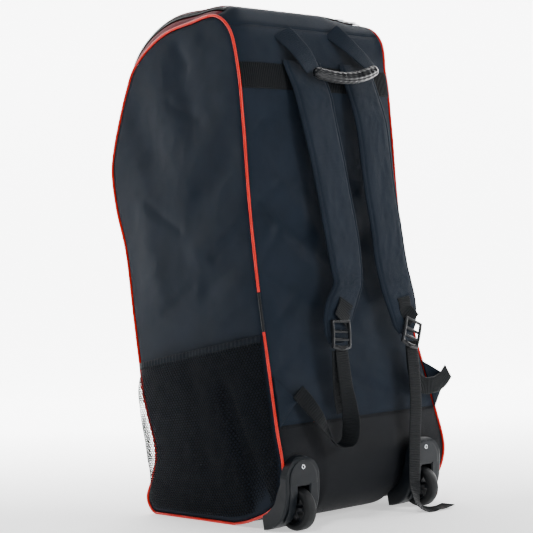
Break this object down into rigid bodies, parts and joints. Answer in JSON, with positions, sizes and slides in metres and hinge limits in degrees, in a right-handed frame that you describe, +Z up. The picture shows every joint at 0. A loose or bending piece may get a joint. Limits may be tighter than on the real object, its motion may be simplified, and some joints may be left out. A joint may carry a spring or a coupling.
{
  "type": "wheeled cricket kit bag",
  "caption": "Tall upright kit bag of cloth on corner wheels, with padded back straps, a ridged top grab handle, a zipped lid and net side pockets.",
  "frame": {"origin": "on the floor, at the middle of the bag's width and on the flat of its base, below the body", "axes": "+Z up along the standing bag, -Y out of the back panel with the straps, +X to the right when facing that panel"},
  "size_m": [0.5141, 0.5354, 0.9483],
  "materials": {
    "body_cloth": "blue-black woven polyester",
    "base_cloth": "black coated cloth",
    "maroon_cloth": "maroon woven polyester",
    "strap_cloth": "padded black cloth",
    "webbing": "ribbed black webbing",
    "net": "black knitted net",
    "piping": "glossy red",
    "grip_rubber": "black ridged rubber",
    "black_plastic": "black acetal",
    "housing_plastic": "dark grey moulded",
    "wheel_plastic": "black moulded",
    "steel": "plated"
  },
  "bodies": {
    "root": {"back_panel": "body_cloth", "top_panel": "body_cloth", "front_upper": "body_cloth", "front_accent": "maroon_cloth", "front_panel": "body_cloth", "base_panel": "base_cloth", "lid_strip_left": "maroon_cloth", "lid_strip_right": "maroon_cloth", "lid_zip": "webbing", "lid_flap": "maroon_cloth", "piping_left": "piping", "piping_splice_left": "black_plastic", "piping_right": "piping", "side_panel_left": "body_cloth", "side_panel_right": "body_cloth", "pocket_net_left": "net", "pocket_net_right": "net", "pocket_hem_left": "webbing", "pocket_hem_right": "webbing", "back_band": "webbing", "strap_left": "strap_cloth", "strap_right": "strap_cloth", "buckle_left": "black_plastic", "buckle_right": "black_plastic", "tab_left": "strap_cloth", "tab_right": "strap_cloth", "webbing_loop_left": "webbing", "webbing_tail_left": "webbing", "webbing_tail_right": "webbing", "webbing_link_right": "webbing", "handle_leg_left": "webbing", "handle_leg_right": "webbing", "handle_grip": "grip_rubber", "wheel_housing_left": "housing_plastic", "wheel_housing_right": "housing_plastic", "axle_left": "steel", "axle_right": "steel", "rivet_left": "steel", "rivet_right": "steel", "zip_slider": "steel", "zip_pull": "steel"},
    "wheel_left": {"wheel_left": "wheel_plastic"},
    "wheel_right": {"wheel_right": "wheel_plastic"}
  },
  "joints": [
    {"name": "wheel_left_spin", "type": "hinge", "parent": "root", "child": "wheel_left", "pos_m": [-0.163, -0.19, 0.038], "axis": [1, 0, 0], "continuous": true},
    {"name": "wheel_right_spin", "type": "hinge", "parent": "root", "child": "wheel_right", "pos_m": [0.163, -0.19, 0.038], "axis": [1, 0, 0], "continuous": true}
  ]
}
